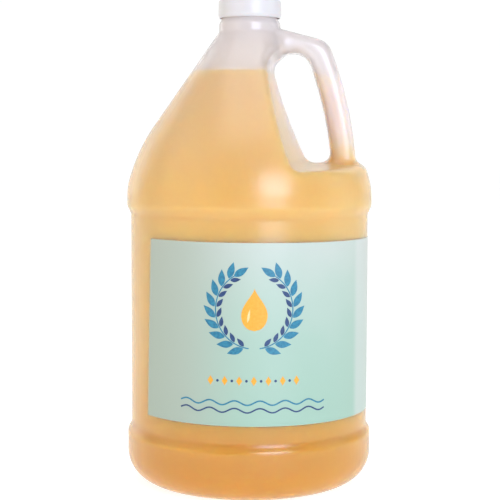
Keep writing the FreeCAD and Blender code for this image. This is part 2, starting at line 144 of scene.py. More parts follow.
def rounded(corners, steps=6):
    # corners are (radius, height, rounding), each rounding an arc of that size
    points = []
    for i, (x, z, size) in enumerate(corners):
        if not size:
            points.append((x, z))
            continue
        here = Vector((x, z))
        toward = [(Vector(corners[k][:2]) - here).normalized() for k in (i - 1, i + 1)]
        half = toward[0].angle(toward[1]) / 2
        middle = here + (toward[0] + toward[1]).normalized() * size / math.sin(half)
        begin = here + toward[0] * size / math.tan(half) - middle
        finish = here + toward[1] * size / math.tan(half) - middle
        turn = begin.angle_signed(finish)
        for k in range(steps + 1):
            points.append(tuple(middle + Matrix.Rotation(-turn * k / steps, 2) @ begin))
    return points


def lathe(name, profile, steps=144):
    # profile of (radius, height) points, from axis to axis, turned about the jug's axis
    bm = bmesh.new()
    rings = []
    for radius, height in profile:
        turns = [2 * math.pi * i / steps for i in range(steps if radius > 0 else 1)]
        rings.append([bm.verts.new((radius * math.cos(a), radius * math.sin(a), height)) for a in turns])
    for low, high in zip(rings, rings[1:]):
        for i in range(steps):
            j = (i + 1) % steps
            corners = (low[i % len(low)], low[j % len(low)], high[j % len(high)], high[i % len(high)])
            face = list(dict.fromkeys(corners))
            if len(face) > 2:
                bm.faces.new(face)
    return meshFrom(bm, name)


def readPoints(mesh):
    # places, normals and edges of a mesh as arrays
    places = np.zeros(len(mesh.vertices) * 3)
    mesh.vertices.foreach_get("co", places)
    normals = np.zeros(len(mesh.vertices) * 3)
    mesh.vertex_normals.foreach_get("vector", normals)
    edges = np.zeros(len(mesh.edges) * 2, int)
    mesh.edges.foreach_get("vertices", edges)
    return places.reshape(-1, 3), normals.reshape(-1, 3), edges.reshape(-1, 2)


def neighbourMean(values, edges):
    # mean of each point's neighbours, column by column
    count = len(values)
    total = np.zeros_like(values)
    for column in range(values.shape[1]):
        total[:, column] = np.bincount(edges[:, 0], values[edges[:, 1], column], count)
        total[:, column] += np.bincount(edges[:, 1], values[edges[:, 0], column], count)
    return total / np.bincount(edges.ravel(), minlength=count)[:, None]


def eased(values, edges, weight, steps):
    # each step takes every point half way to its neighbours' mean, times its weight
    for i in range(steps):
        values = values + 0.5 * weight * (neighbourMean(values, edges) - values)
    return values


# Jug skin: the CAD outside, with the blends that blowing leaves where the handle runs into the body
jugSkin = {
    "grid": 1.15 * mm,
    "weld": 0.001 * mm,
    "polishSteps": 4,
    "creaseAngle": math.radians(18),
    "crispFrom": 274 * mm,
    "blendReach": 9 * mm,
    "blendSlope": 1.3,
    "blendSteps": 36,
    "holeFoot": (47 * mm, 206 * mm),
    "holeHead": (18 * mm, 272 * mm),
    "gripFade": 9 * mm,
    "gripSteps": 30,
    "ledgeTop": 200 * mm,
    "ledgeFrom": 50 * mm,
    "ledgeReach": 9 * mm,
    "ledgeClear": 20 * mm,
    "ledgeSlope": 1.5,
    "ledgeSteps": 40,
    "collarEdge": (19 * mm, 289.4 * mm),
    "collarReach": 3.2 * mm,
    "collarSlope": 1.5,
    "collarSteps": 6,
    "panelRadius": 74.8 * mm,
    "panelSlack": 1 * mm,
    "footStep": (37.6 * mm, 30.8 * mm),
    "shoulderStep": (167.8 * mm, 176.8 * mm),
    "stepReach": (6 * mm, 1.5 * mm),
    "grooveDepth": 0.15 * mm,
    "grooveWidth": 0.6 * mm,
    "grooveRise": 27.6 * mm,
    "seamHeight": 0.3 * mm,
    "seamWidth": 0.9 * mm,
    "wall": 1.1 * mm,
    "rimTrim": 0.25 * mm,
    "wallColour": "#F6F2F2",
    "neckColour": "#EAE0D9",
    "neckFrom": 274 * mm,
    "neckTo": 291 * mm,
    "neckClear": 0.4,
}


def outsideForm(node):
    # outer skin of the CAD jug, closed at the mouth, and the points along its inner corners
    bm = bmesh.new()
    bm.from_mesh(node.data)
    bmesh.ops.remove_doubles(bm, verts=bm.verts, dist=jugSkin["weld"])
    rim = max(v.co.z for v in bm.verts)
    top = [f for f in bm.faces if min(v.co.z for v in f.verts) > rim - jugSkin["weld"]]
    bmesh.ops.delete(bm, geom=top, context="FACES")
    start = min(bm.verts, key=lambda v: v.co.z)
    found = {start}
    queue = [start]
    while queue:
        for edge in queue.pop().link_edges:
            for other in edge.verts:
                if other not in found:
                    found.add(other)
                    queue.append(other)
    bmesh.ops.delete(bm, geom=[v for v in bm.verts if v not in found], context="VERTS")
    bmesh.ops.holes_fill(bm, edges=[e for e in bm.edges if e.is_boundary], sides=0)
    bmesh.ops.recalc_face_normals(bm, faces=bm.faces)
    creases = []
    for edge in bm.edges:
        if len(edge.link_faces) == 2 and edge.calc_face_angle_signed(0) < -jugSkin["creaseAngle"]:
            if edge.verts[0].co.z < jugSkin["crispFrom"]:
                creases += [edge.verts[0].co.copy(), (edge.verts[0].co + edge.verts[1].co) / 2]
    return meshFrom(bm, "outsideForm"), creases


def fading(away, reach, slope):
    # full weight close by, none at the reach
    return np.clip(slope * (1 - away / reach), 0, 1)


def cornerWeight(places, creases):
    corners = KDTree(len(creases))
    for i, point in enumerate(creases):
        corners.insert(point, i)
    corners.balance()
    away = np.array([corners.find(place)[2] for place in places])
    return fading(away, jugSkin["blendReach"], jugSkin["blendSlope"])[:, None]


def gripWeight(places):
    # past the middle line of the finger hole everything is handle
    (footX, footZ), (headX, headZ) = jugSkin["holeFoot"], jugSkin["holeHead"]
    past = places[:, 0] - footX - (places[:, 2] - footZ) * (headX - footX) / (headZ - footZ)
    return np.clip(np.minimum(past, places[:, 2] - footZ) / jugSkin["gripFade"], 0, 1)[:, None]


def ledgeWeight(places):
    # rim of the ledge beside the handle's foot
    weight = fading(abs(places[:, 2] - jugSkin["ledgeTop"]), jugSkin["ledgeReach"], jugSkin["ledgeSlope"])
    weight = np.minimum(weight, (places[:, 0] - jugSkin["ledgeFrom"]) / jugSkin["ledgeReach"])
    weight = np.minimum(weight, (abs(places[:, 1]) - jugSkin["ledgeClear"]) / jugSkin["ledgeReach"])
    return np.clip(weight, 0, 1)[:, None]


def collarWeight(places):
    # edge of the collar under the cap, whose top slopes
    edgeRadius, edgeHeight = jugSkin["collarEdge"]
    away = np.hypot(np.linalg.norm(places[:, :2], axis=1) - edgeRadius, places[:, 2] - edgeHeight)
    return fading(away, jugSkin["collarReach"], jugSkin["collarSlope"])[:, None]


def steppedScale(places):
    # tighter steps at both ends of the panel, and a fine groove round the foot, as a factor on the radius
    radius = np.linalg.norm(places[:, :2], axis=1)
    target = radius.copy()
    rise = cadBox[1][0] - jugSkin["panelRadius"]
    for panelEnd, ringEnd in (jugSkin["footStep"], jugSkin["shoulderStep"]):
        length = abs(ringEnd - panelEnd)
        past = (places[:, 2] - panelEnd) * math.copysign(1, ringEnd - panelEnd)
        share = np.clip(past / length, 0, 1)
        smooth = share ** 3 * (share * (6 * share - 15) + 10)
        onStep = past > -jugSkin["stepReach"][0]
        onStep &= past < length + jugSkin["stepReach"][1]
        onStep &= radius > jugSkin["panelRadius"] - jugSkin["panelSlack"]
        target[onStep] = (jugSkin["panelRadius"] + smooth * rise)[onStep]
    fromGroove = (places[:, 2] - jugSkin["grooveRise"]) / jugSkin["grooveWidth"]
    target -= jugSkin["grooveDepth"] * np.exp(-fromGroove ** 2)
    return np.divide(target, radius, out=np.ones_like(radius), where=radius > 0)[:, None]


def softened(form, creases):
    # even grid laid on the form, smoothed along its inner corners, with crowned faces on the handle
    mesh = applied(form, ("REMESH", {"mode": "VOXEL", "voxel_size": jugSkin["grid"]}))
    surface = BVHTree.FromPolygons([v.co for v in form.vertices], [f.vertices for f in form.polygons])
    places, _, edges = readPoints(mesh)
    places = eased(places, edges, 1, jugSkin["polishSteps"])
    places = np.array([surface.find_nearest(place)[0] for place in places])
    places = eased(places, edges, cornerWeight(places, creases), jugSkin["blendSteps"])
    places[:, 1:2] = eased(places[:, 1:2], edges, gripWeight(places), jugSkin["gripSteps"])
    places = eased(places, edges, ledgeWeight(places), jugSkin["ledgeSteps"])
    places = eased(places, edges, collarWeight(places), jugSkin["collarSteps"])
    places[:, :2] *= steppedScale(places)
    mesh.vertices.foreach_set("co", places.ravel())
    mesh.update()
    return mesh


def partingLine(mesh):
    # low ridge where the two halves of the mould met, kept inside the CAD box
    places, normals, _ = readPoints(mesh)
    ridge = jugSkin["seamHeight"] * np.exp(-(places[:, 1] / jugSkin["seamWidth"]) ** 2)
    places += normals * ridge[:, None]
    places = np.clip(places, np.array(cadBox[0]), np.array(cadBox[1]))
    mesh.vertices.foreach_set("co", places.ravel())
    mesh.update()


def cutAt(mesh, height, fill):
    # part of the mesh under a level, left open or closed with flat faces
    bm = bmesh.new()
    bm.from_mesh(mesh)
    bmesh.ops.bisect_plane(bm, geom=bm.verts[:] + bm.edges[:] + bm.faces[:], plane_co=(0, 0, height),
                           plane_no=(0, 0, 1), clear_outer=True)
    if fill:
        bmesh.ops.holes_fill(bm, edges=[e for e in bm.edges if e.is_boundary], sides=0)
    return meshFrom(bm, mesh.name, math.radians(60))


form, creases = outsideForm(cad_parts["jug"])
skin = softened(form, creases)
print("jug skin:", len(skin.vertices), "points,", len(creases), "crease points")

# Natural high-density polyethylene, blow-moulded: milky, lets light through and blurs it, satin outside.
# The coat carries the gloss, so the wall's IOR is under the usual 1.54 and its edges don't darken
polyethylene, tree, shader = newMaterial("blown_natural_polyethylene", IOR=1.25, Transmission_Weight=1.0,
                                         Coat_Weight=1.0, Coat_Roughness=0.26, Coat_IOR=1.6)
spot = addNode(tree, "ShaderNodeTexCoord").outputs["Object"]
cloud = addNode(tree, "ShaderNodeTexNoise", {"Scale": 1 / (18 * mm), "Detail": 3.0}, {"Vector": spot})
haze = addNode(tree, "ShaderNodeMapRange", {"To Min": 0.64, "To Max": 0.76}, {"Value": cloud.outputs["Fac"]})
tree.links.new(haze.outputs["Result"], shader.inputs["Roughness"])
# thicker and milkier towards the neck
axes = addNode(tree, "ShaderNodeSeparateXYZ", links={"Vector": spot})
clear = addNode(tree, "ShaderNodeMapRange",
                {"From Min": jugSkin["neckFrom"], "From Max": jugSkin["neckTo"],
                 "To Min": 1.0, "To Max": jugSkin["neckClear"]},
                {"Value": axes.outputs["Z"]})
tree.links.new(clear.outputs["Result"], shader.inputs["Transmission Weight"])
wallTone = addNode(tree, "ShaderNodeMix",
                   {mixFirst: hexColour(jugSkin["neckColour"]), mixSecond: hexColour(jugSkin["wallColour"])},
                   {mixFactor: clear.outputs["Result"]}, data_type="RGBA")
tree.links.new(wallTone.outputs[mixResult], shader.inputs["Base Color"])
grain = addNode(tree, "ShaderNodeTexNoise", {"Scale": 1 / (1.6 * mm), "Detail": 2.0}, {"Vector": spot})
bump = addNode(tree, "ShaderNodeBump", {"Strength": 0.25, "Distance": 0.05 * mm},
               {"Height": grain.outputs["Fac"]})
tree.links.new(bump.outputs["Normal"], shader.inputs["Normal"])
tree.links.new(bump.outputs["Normal"], shader.inputs["Coat Normal"])

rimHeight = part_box("jug")[1].z
outside = skin.copy()
partingLine(outside)
shell = applied(cutAt(outside, rimHeight - jugSkin["rimTrim"], False),
                ("SOLIDIFY", {"thickness": jugSkin["wall"], "offset": -1.0}))
newPiece("blown_jug", shell, polyethylene, "jug", "jug")

# Neck thread: one ridge of about a turn and a half, half a pitch away from the cap's own
neckThread = {
    "pitch": 25.4 / 6 * mm,
    "turns": 1.5,
    "rootRadius": 17.1 * mm,
    "crestRadius": 18.35 * mm,
    "underRim": 8.8 * mm,
    "halfRoot": 1.05 * mm,
    "halfCrest": 0.45 * mm,
    "lead": math.radians(35),
    "endRise": 0.02,
    "perTurn": 60,
}


def threadRidge(name, root, crest, start, turns):
    # rises from the wall over the lead angle at each end
    bm = bmesh.new()
    steps = round(turns * neckThread["perTurn"])
    whole = 2 * math.pi * turns
    foot = neckThread["halfRoot"]
    top = neckThread["halfCrest"]
    sections = []
    for i in range(steps + 1):
        angle = whole * i / steps
        rise = min(1, angle / neckThread["lead"], (whole - angle) / neckThread["lead"])
        rise = max(math.sin(rise * math.pi / 2), neckThread["endRise"])
        peak = root + (crest - root) * rise
        height = start + neckThread["pitch"] * angle / (2 * math.pi)
        section = []
        for radius, offset in ((root, -foot), (peak, -top), (peak, top), (root, foot)):
            place = (radius * math.cos(angle), radius * math.sin(angle), height + offset)
            section.append(bm.verts.new(place))
        sections.append(section)
    for here, after in zip(sections, sections[1:]):
        for k in range(len(here)):
            bm.faces.new((here[k], here[k - 1], after[k - 1], after[k]))
    bm.faces.new(sections[0])
    bm.faces.new(sections[-1][::-1])
    return meshFrom(bm, name)


threadStart = rimHeight - neckThread["underRim"]
ridge = threadRidge("neckThread", neckThread["rootRadius"], neckThread["crestRadius"], threadStart,
                    neckThread["turns"])
newPiece("neck_thread", ridge, polyethylene, "jug")
print("jug done")

# Oil: fills the jug up to its level, its skin laid half way into the wall so that no film of air shows
oilFill = {
    "intoWall": 0.55 * mm,
    "webHalf": 11 * mm,
    "bodyHalf": 18 * mm,
    "webFrom": 203 * mm,
    "webFade": 6 * mm,
    # how far the pale tint reaches lower on the handle's side, painted light over the shaded crease at its
    # foot
    "paintedLightDrop": 2 * mm,
    "gripGold": (206 * mm, 222 * mm),
    "webTint": "#F8E4D2",
    # handle's foot: partly the oil's tint, partly painted light over the shaded crease
    "gripFootOilAndLight": "#F4D9AE",
    "gripTint": "#EEDFD6",
    # height ramp of the oil's colour: deeper amber towards the foot is painted shade, paler towards the level
    # is painted light
    "gold": [(0.04, "#D6981A"), (0.2, "#E0AE4C"), (0.32, "#E6BC68"), (0.7, "#E6BF6C"), (1.0, "#E2C392")],
}
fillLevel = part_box("oil")[1].z
oilSkin = skin.copy()
places, normals, _ = readPoints(skin)
oilSkin.vertices.foreach_set("co", (places - normals * oilFill["intoWall"]).ravel())
oilSkin.update()

# Massage oil, clear and golden: behind the milky wall it glows, paler in the handle and round the finger
# hole, with painted shade making it deeper amber towards the foot and painted light making it paler towards
# the level. The wall in front has the gloss, so the oil has none
goldenOil, tree, shader = newMaterial("golden_massage_oil", Roughness=0.3, IOR=1.47, Specular_IOR_Level=0.0,
                                      Subsurface_Weight=1.0, Subsurface_Radius=(1.0, 0.8, 0.5),
                                      Subsurface_Scale=22 * mm)
spot = addNode(tree, "ShaderNodeTexCoord").outputs["Object"]
axes = addNode(tree, "ShaderNodeSeparateXYZ", links={"Vector": spot})
offPlane = addNode(tree, "ShaderNodeMath", links={0: axes.outputs["Y"]}, operation="ABSOLUTE")
thick = addNode(tree, "ShaderNodeMapRange",
                {"From Min": oilFill["webHalf"], "From Max": oilFill["bodyHalf"]},
                {"Value": offPlane.outputs[0]}, interpolation_type="SMOOTHSTEP")
# past the middle line of the finger hole lies the handle, pale gold in its foot: partly the oil's own tint,
# partly painted light over the shaded crease where the handle meets the ledge
(footX, footZ), (headX, headZ) = jugSkin["holeFoot"], jugSkin["holeHead"]
lean = (footX - headX) / (headZ - footZ)
across = addNode(tree, "ShaderNodeMath", {1: lean}, {0: axes.outputs["Z"], 2: axes.outputs["X"]},
                 operation="MULTIPLY_ADD")
grip = addNode(tree, "ShaderNodeMath", {1: footX + lean * footZ}, {0: across.outputs[0]},
               operation="GREATER_THAN")
# on the handle's side the pale tint reaches lower, painted light over the shaded crease at its foot
raised = addNode(tree, "ShaderNodeMath", {1: oilFill["paintedLightDrop"]},
                 {0: grip.outputs[0], 2: axes.outputs["Z"]}, operation="MULTIPLY_ADD")
under = addNode(tree, "ShaderNodeMapRange",
                {"From Min": oilFill["webFrom"] + oilFill["webFade"], "From Max": oilFill["webFrom"]},
                {"Value": raised.outputs[0]})
farSide = addNode(tree, "ShaderNodeMath", {1: 0.0}, {0: axes.outputs["X"]}, operation="LESS_THAN")
lower = addNode(tree, "ShaderNodeMath", links={0: thick.outputs["Result"], 1: under.outputs["Result"]},
                operation="MAXIMUM")
body = addNode(tree, "ShaderNodeMath", links={0: lower.outputs[0], 1: farSide.outputs[0]},
               operation="MAXIMUM")
# painted shade and light by height: deeper amber towards the foot, paler towards the level
level = addNode(tree, "ShaderNodeMapRange", {"From Max": fillLevel}, {"Value": axes.outputs["Z"]})
heightShadedGold = addNode(tree, "ShaderNodeValToRGB", links={"Fac": level.outputs["Result"]}, stops=oilFill["gold"])
gripFrom, gripTo = oilFill["gripGold"]
upGrip = addNode(tree, "ShaderNodeMapRange", {"From Min": gripFrom, "From Max": gripTo},
                 {"Value": axes.outputs["Z"]})
gripTint = addNode(tree, "ShaderNodeMix",
                   {mixFirst: hexColour(oilFill["gripFootOilAndLight"]), mixSecond: hexColour(oilFill["gripTint"])},
                   {mixFactor: upGrip.outputs["Result"]}, data_type="RGBA")
thinTint = addNode(tree, "ShaderNodeMix", {mixFirst: hexColour(oilFill["webTint"])},
                   {mixFactor: grip.outputs[0], mixSecond: gripTint.outputs[mixResult]}, data_type="RGBA")
tint = addNode(tree, "ShaderNodeMix",
               links={mixFactor: body.outputs[0], mixFirst: thinTint.outputs[mixResult],
                      mixSecond: heightShadedGold.outputs["Color"]},
               data_type="RGBA")
tree.links.new(tint.outputs[mixResult], shader.inputs["Base Color"])
newPiece("oil_fill", cutAt(oilSkin, fillLevel, True), goldenOil, "jug", "oil")
print("oil done")

# Screw cap: smooth skirt with a rounded foot, rounded crown, sunk top with the gate's mark in its middle
screwCap = {
    "skirtWall": 0.9 * mm,
    "draft": 0.25 * mm,
    "topPlate": 1.3 * mm,
    "crown": 1.6 * mm,
    "footRound": 1.3 * mm,
    "footTaper": 0.75 * mm,
    "footLip": 0.6 * mm,
    "lipWidth": 0.6 * mm,
    "lipRound": 0.3 * mm,
    "topSunk": 0.3 * mm,
    "topRing": 14.5 * mm,
    "ringRound": 0.4 * mm,
    "gate": 1.4 * mm,
    "gateFloor": 1.12 * mm,
    "gateRound": 0.1 * mm,
    "boreRound": 0.3 * mm,
    "fineRound": 0.2 * mm,
    "threadTurns": 1.2,
    "threadCrest": 17.95 * mm,
    "threadSunk": 0.25 * mm,
    "colour": "#D9D5D3",
}
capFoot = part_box("screw_cap")[0].z
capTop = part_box("screw_cap")[1].z
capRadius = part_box("screw_cap")[1].x
capBore = capRadius - screwCap["skirtWall"]
capSide = capRadius - screwCap["draft"]
sunkTop = capTop - screwCap["topSunk"]
gateFoot = sunkTop - screwCap["topSunk"]
lipFoot = capFoot - screwCap["footLip"]
lipRadius = capRadius - screwCap["footTaper"]
capProfile = rounded([
    (0, gateFoot, 0),
    (screwCap["gateFloor"], gateFoot, 0),
    (screwCap["gate"], sunkTop, screwCap["gateRound"]),
    (screwCap["topRing"], sunkTop, screwCap["ringRound"]),
    (screwCap["topRing"] + screwCap["topSunk"], capTop, screwCap["fineRound"]),
    (capSide, capTop, screwCap["crown"]),
    (capRadius, capFoot + screwCap["footRound"], screwCap["footRound"]),
    (lipRadius, lipFoot, screwCap["lipRound"]),
    (lipRadius - screwCap["lipWidth"], lipFoot, screwCap["fineRound"]),
    (capBore, capFoot + screwCap["footRound"], screwCap["fineRound"]),
    (capBore, capTop - screwCap["topPlate"], screwCap["boreRound"]),
    (0, capTop - screwCap["topPlate"], 0),
])

# White polypropylene, injection-moulded: dense white with a soft gloss, a trace of light inside
polypropylene, tree, shader = newMaterial("moulded_white_polypropylene", IOR=1.49, Subsurface_Weight=0.15,
                                          Subsurface_Scale=1.5 * mm, Base_Color=hexColour(screwCap["colour"]))
spot = addNode(tree, "ShaderNodeTexCoord").outputs["Object"]
cloud = addNode(tree, "ShaderNodeTexNoise", {"Scale": 1 / (6 * mm), "Detail": 4.0}, {"Vector": spot})
gloss = addNode(tree, "ShaderNodeMapRange", {"To Min": 0.24, "To Max": 0.36}, {"Value": cloud.outputs["Fac"]})
tree.links.new(gloss.outputs["Result"], shader.inputs["Roughness"])
grain = addNode(tree, "ShaderNodeTexNoise", {"Scale": 1 / (0.8 * mm), "Detail": 2.0}, {"Vector": spot})
bump = addNode(tree, "ShaderNodeBump", {"Strength": 0.15, "Distance": 0.03 * mm},
               {"Height": grain.outputs["Fac"]})
tree.links.new(bump.outputs["Normal"], shader.inputs["Normal"])
capShell = lathe("mouldedCap", capProfile)
newPiece("moulded_cap", capShell, polypropylene, "cap", "screw_cap")
ridge = threadRidge("capThread", capBore + screwCap["threadSunk"], screwCap["threadCrest"],
                    threadStart + neckThread["pitch"] / 2, screwCap["threadTurns"])
newPiece("cap_thread", ridge, polypropylene, "cap")
print("cap done")

# Liner: foam disc with rounded edges, dented in a ring where the neck's rim presses into it
capLiner = {
    "edge": 0.3 * mm,
    "dent": 0.12 * mm,
    "dentRadius": 16.4 * mm,
    "dentWidth": 1.6 * mm,
    "dentRound": 0.1 * mm,
    "tones": [(0.0, "#E2E0DA"), (0.7, "#F1EFEA")],
}
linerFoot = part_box("cap_liner")[0].z
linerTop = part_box("cap_liner")[1].z
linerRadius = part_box("cap_liner")[1].x
dentTop = linerFoot + capLiner["dent"]
dentHalf = capLiner["dentWidth"] / 2
dentFlat = capLiner["dentWidth"] / 3
linerProfile = rounded([
    (0, linerTop, 0),
    (linerRadius, linerTop, capLiner["edge"]),
    (linerRadius, linerFoot, capLiner["edge"]),
    (capLiner["dentRadius"] + dentHalf, linerFoot, capLiner["dentRound"]),
    (capLiner["dentRadius"] + dentFlat, dentTop, capLiner["dentRound"]),
    (capLiner["dentRadius"] - dentFlat, dentTop, capLiner["dentRound"]),
    (capLiner["dentRadius"] - dentHalf, linerFoot, capLiner["dentRound"]),
    (0, linerFoot, 0),
])

# Foamed polyethylene sheet, die-cut: off-white, dull, with fine cells
foam, tree, shader = newMaterial("foamed_polyethylene", Roughness=0.8)
spot = addNode(tree, "ShaderNodeTexCoord").outputs["Object"]
cells = addNode(tree, "ShaderNodeTexVoronoi", {"Scale": 1 / (0.7 * mm)}, {"Vector": spot})
tone = addNode(tree, "ShaderNodeValToRGB", links={"Fac": cells.outputs["Distance"]}, stops=capLiner["tones"])
tree.links.new(tone.outputs["Color"], shader.inputs["Base Color"])
bump = addNode(tree, "ShaderNodeBump", {"Strength": 0.5, "Distance": 0.1 * mm},
               {"Height": cells.outputs["Distance"]})
tree.links.new(bump.outputs["Normal"], shader.inputs["Normal"])
newPiece("foam_disc", lathe("foamDisc", linerProfile), foam, "liner", "cap_liner")
print("liner done")

# Label: thin sheet wrapped on the panel, placed by the length round it from the front and by the height
labelSheet = {
    "thick": 0.2 * mm,
    "step": 2 * mm,
    "rowStep": 8 * mm,
    "askew": math.radians(0.4),
    "endSlant": math.radians(1.65),
    "endReach": 30 * mm,
    "wash": [(0.0, "#9FC0AB"), (0.45, "#A7C2B0"), (0.75, "#B4C6B7"), (1.0, "#BFC9BD")],
    "washRise": (-0.2, 0.8),
    "washCloud": 0.4,
    # painted shade: greyer towards the left
    "leftPaintedShade": "#AAB4A5",
    "leftFade": (5 * mm, -45 * mm),
    "leftShare": 0.8,
    # painted highlight: paler on the side
    "sidePaintedHighlight": "#D2D4CC",
    "sideFade": (-41 * mm, -35 * mm),
    "sideShare": 0.5,
}
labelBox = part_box("front_label")
labelRadius = -labelBox[0].y
labelLeft = math.asin(labelBox[0].x / labelRadius) * labelRadius
labelRight = math.acos(-labelBox[1].y / labelRadius) * labelRadius
labelFoot = labelBox[0].z
labelHead = labelBox[1].z


def onPanel(along, height, radius):
    # the sheet is stuck on a little askew, and its left end is not cut quite square
    turned = labelSheet["askew"] * (height - (labelFoot + labelHead) / 2)
    nearEnd = max(0, 1 - (along - labelLeft) / labelSheet["endReach"])
    slanted = labelSheet["endSlant"] * nearEnd * (labelHead - height)
    angle = (along + turned - slanted) / labelRadius
    return radius * math.sin(angle), -radius * math.cos(angle), height - labelSheet["askew"] * along


def layOn(bm, rows, inner, outer):
    # closed sheet over rows of (along, height) points, between two radii of the panel
    low = [[bm.verts.new(onPanel(*point, inner)) for point in row] for row in rows]
    high = [[bm.verts.new(onPanel(*point, outer)) for point in row] for row in rows]
    last = len(rows) - 1
    side = len(rows[0]) - 1
    for i in range(last):
        for k in range(side):
            bm.faces.new((high[i][k], high[i][k + 1], high[i + 1][k + 1], high[i + 1][k]))
            bm.faces.new((low[i][k], low[i + 1][k], low[i + 1][k + 1], low[i][k + 1]))
        for k in (0, side):
            bm.faces.new((low[i][k], high[i][k], high[i + 1][k], low[i + 1][k]))
    for k in range(side):
        for i in (0, last):
            bm.faces.new((low[i][k], low[i][k + 1], high[i][k + 1], high[i][k]))


def spaced(start, end, step):
    # even places from start to end, at most a step apart
    count = max(1, math.ceil(abs(end - start) / step))
    return [start + (end - start) * i / count for i in range(count + 1)]


bm = bmesh.new()
labelRows = []
for height in spaced(labelFoot, labelHead, labelSheet["rowStep"]):
    labelRows.append([(along, height) for along in spaced(labelLeft, labelRight, labelSheet["step"])])
layOn(bm, labelRows, labelRadius - labelSheet["thick"], labelRadius)
sheet = meshFrom(bm, "paperLabel")

# Coated label paper, printed in a soft wash, mint in the foot and paler in the head, satin. Greyer towards
# the left is painted shade, and paler on the side is a painted highlight
labelPaper, tree, shader = newMaterial("coated_label_paper", IOR=1.5)
spot = addNode(tree, "ShaderNodeTexCoord").outputs["Object"]
axes = addNode(tree, "ShaderNodeSeparateXYZ", links={"Vector": spot})
cloud = addNode(tree, "ShaderNodeTexNoise", {"Scale": 1 / (45 * mm), "Detail": 2.0}, {"Vector": spot})
washFoot, washHead = labelSheet["washRise"]
rise = addNode(tree, "ShaderNodeMapRange",
               {"From Min": labelFoot, "From Max": labelHead, "To Min": washFoot, "To Max": washHead},
               {"Value": axes.outputs["Z"]})
clouded = addNode(tree, "ShaderNodeMath", {1: labelSheet["washCloud"]},
                  {0: cloud.outputs["Fac"], 2: rise.outputs["Result"]}, operation="MULTIPLY_ADD")
wash = addNode(tree, "ShaderNodeValToRGB", links={"Fac": clouded.outputs[0]}, stops=labelSheet["wash"])
paperTint = wash.outputs["Color"]
# greyer towards the left is painted shade, paler on the side is a painted highlight
for axis, fade, share, colour in (("X", "leftFade", "leftShare", "leftPaintedShade"),
                                  ("Y", "sideFade", "sideShare", "sidePaintedHighlight")):
    fadeFrom, fadeTo = labelSheet[fade]
    amount = addNode(tree, "ShaderNodeMapRange",
                     {"From Min": fadeFrom, "From Max": fadeTo, "To Max": labelSheet[share]},
                     {"Value": axes.outputs[axis]}, interpolation_type="SMOOTHSTEP")
    mixed = addNode(tree, "ShaderNodeMix", {mixSecond: hexColour(labelSheet[colour])},
                    {mixFactor: amount.outputs["Result"], mixFirst: paperTint}, data_type="RGBA")
    paperTint = mixed.outputs[mixResult]
tree.links.new(paperTint, shader.inputs["Base Color"])
fibre = addNode(tree, "ShaderNodeTexNoise", {"Scale": 1 / (0.9 * mm), "Detail": 3.0}, {"Vector": spot})
satin = addNode(tree, "ShaderNodeMapRange", {"To Min": 0.36, "To Max": 0.48}, {"Value": fibre.outputs["Fac"]})
tree.links.new(satin.outputs["Result"], shader.inputs["Roughness"])
bump = addNode(tree, "ShaderNodeBump", {"Strength": 0.12, "Distance": 0.02 * mm},
               {"Height": fibre.outputs["Fac"]})
tree.links.new(bump.outputs["Normal"], shader.inputs["Normal"])
newPiece("paper_label", sheet, labelPaper, "jug", "front_label")

# Print: a leaf wreath round a drop, a row of lozenges, waves along the foot, and a branch on the side
labelPrint = {
    "inkSunk": 0.02 * mm,
    "inkHeight": 0.05 * mm,
    "finest": 0.03 * mm,
    "middle": 3 * mm,
    "wreathRise": 69 * mm,
    "wreathRadius": 23 * mm,
    "wreathFrom": math.radians(-82),
    "wreathTo": math.radians(58),
    "wreathStep": math.radians(4),
    "leaves": 9,
    "leafLength": 10 * mm,
    "leafWidth": 4.2 * mm,
    "leafBelly": 0.8,
    "leafSplay": math.radians(34),
    "innerLeaf": 0.62,
    "stem": 0.7 * mm,
    "dropLength": 25 * mm,
    "dropWidth": 15.5 * mm,
    "dropBelly": 0.36,
    "dropTaper": 1.4,
    "gleamPlace": (-0.26, 0.2),
    "gleamLength": 0.32,
    "gleamWidth": 0.35,
    "gleamTurn": math.radians(80),
    "gleamLift": 0.03 * mm,
    "lozengeRise": 27 * mm,
    "lozenges": 7,
    "lozengeGap": 8.6 * mm,
    "lozengeSize": (5.6 * mm, 3.6 * mm),
    "dotSize": 1.6 * mm,
    "waveRises": (9.5 * mm, 14 * mm),
    "waveHeight": 1.3 * mm,
    "waveLength": 15 * mm,
    "waveReach": 45 * mm,
    "waveWidth": 0.9 * mm,
    "waveStep": 1 * mm,
    "sideMiddle": 128 * mm,
    "sideRises": (22 * mm, 84 * mm),
    "sideStep": 2 * mm,
    "sideEnds": 4 * mm,
    "sideGap": 7 * mm,
    "mottle": 1.5 * mm,
    "inks": {
        "teal": [(0.35, "#226F8C"), (0.65, "#2F86A0")],
        "navy": [(0.35, "#213A66"), (0.65, "#2B4A78")],
        "gold": [(0.35, "#EBA32C"), (0.65, "#F1AE38")],
        "cream": [(0.35, "#F2D08A"), (0.65, "#F8DDA0")],
        "pale": [(0.35, "#7FAFA8"), (0.65, "#8DBBB4")],
    },
}
inkInner = labelRadius - labelPrint["inkSunk"]
inkOuter = labelRadius + labelPrint["inkHeight"]
inked = {name: bmesh.new() for name in labelPrint["inks"]}


def blade(ink, start, heading, length, halfWidth, lift=0, steps=16, across=6):
    # flat shape along a heading, as wide at each share of its length as halfWidth says
    ahead = Vector((math.cos(heading), math.sin(heading)))
    side = Vector((-ahead.y, ahead.x))
    rows = []
    for i in range(steps + 1):
        share = i / steps
        middle = Vector(start) + ahead * length * share
        half = max(halfWidth(share), labelPrint["finest"])
        rows.append([middle + side * half * (2 * k / across - 1) for k in range(across + 1)])
    layOn(inked[ink], rows, inkInner, inkOuter + lift)


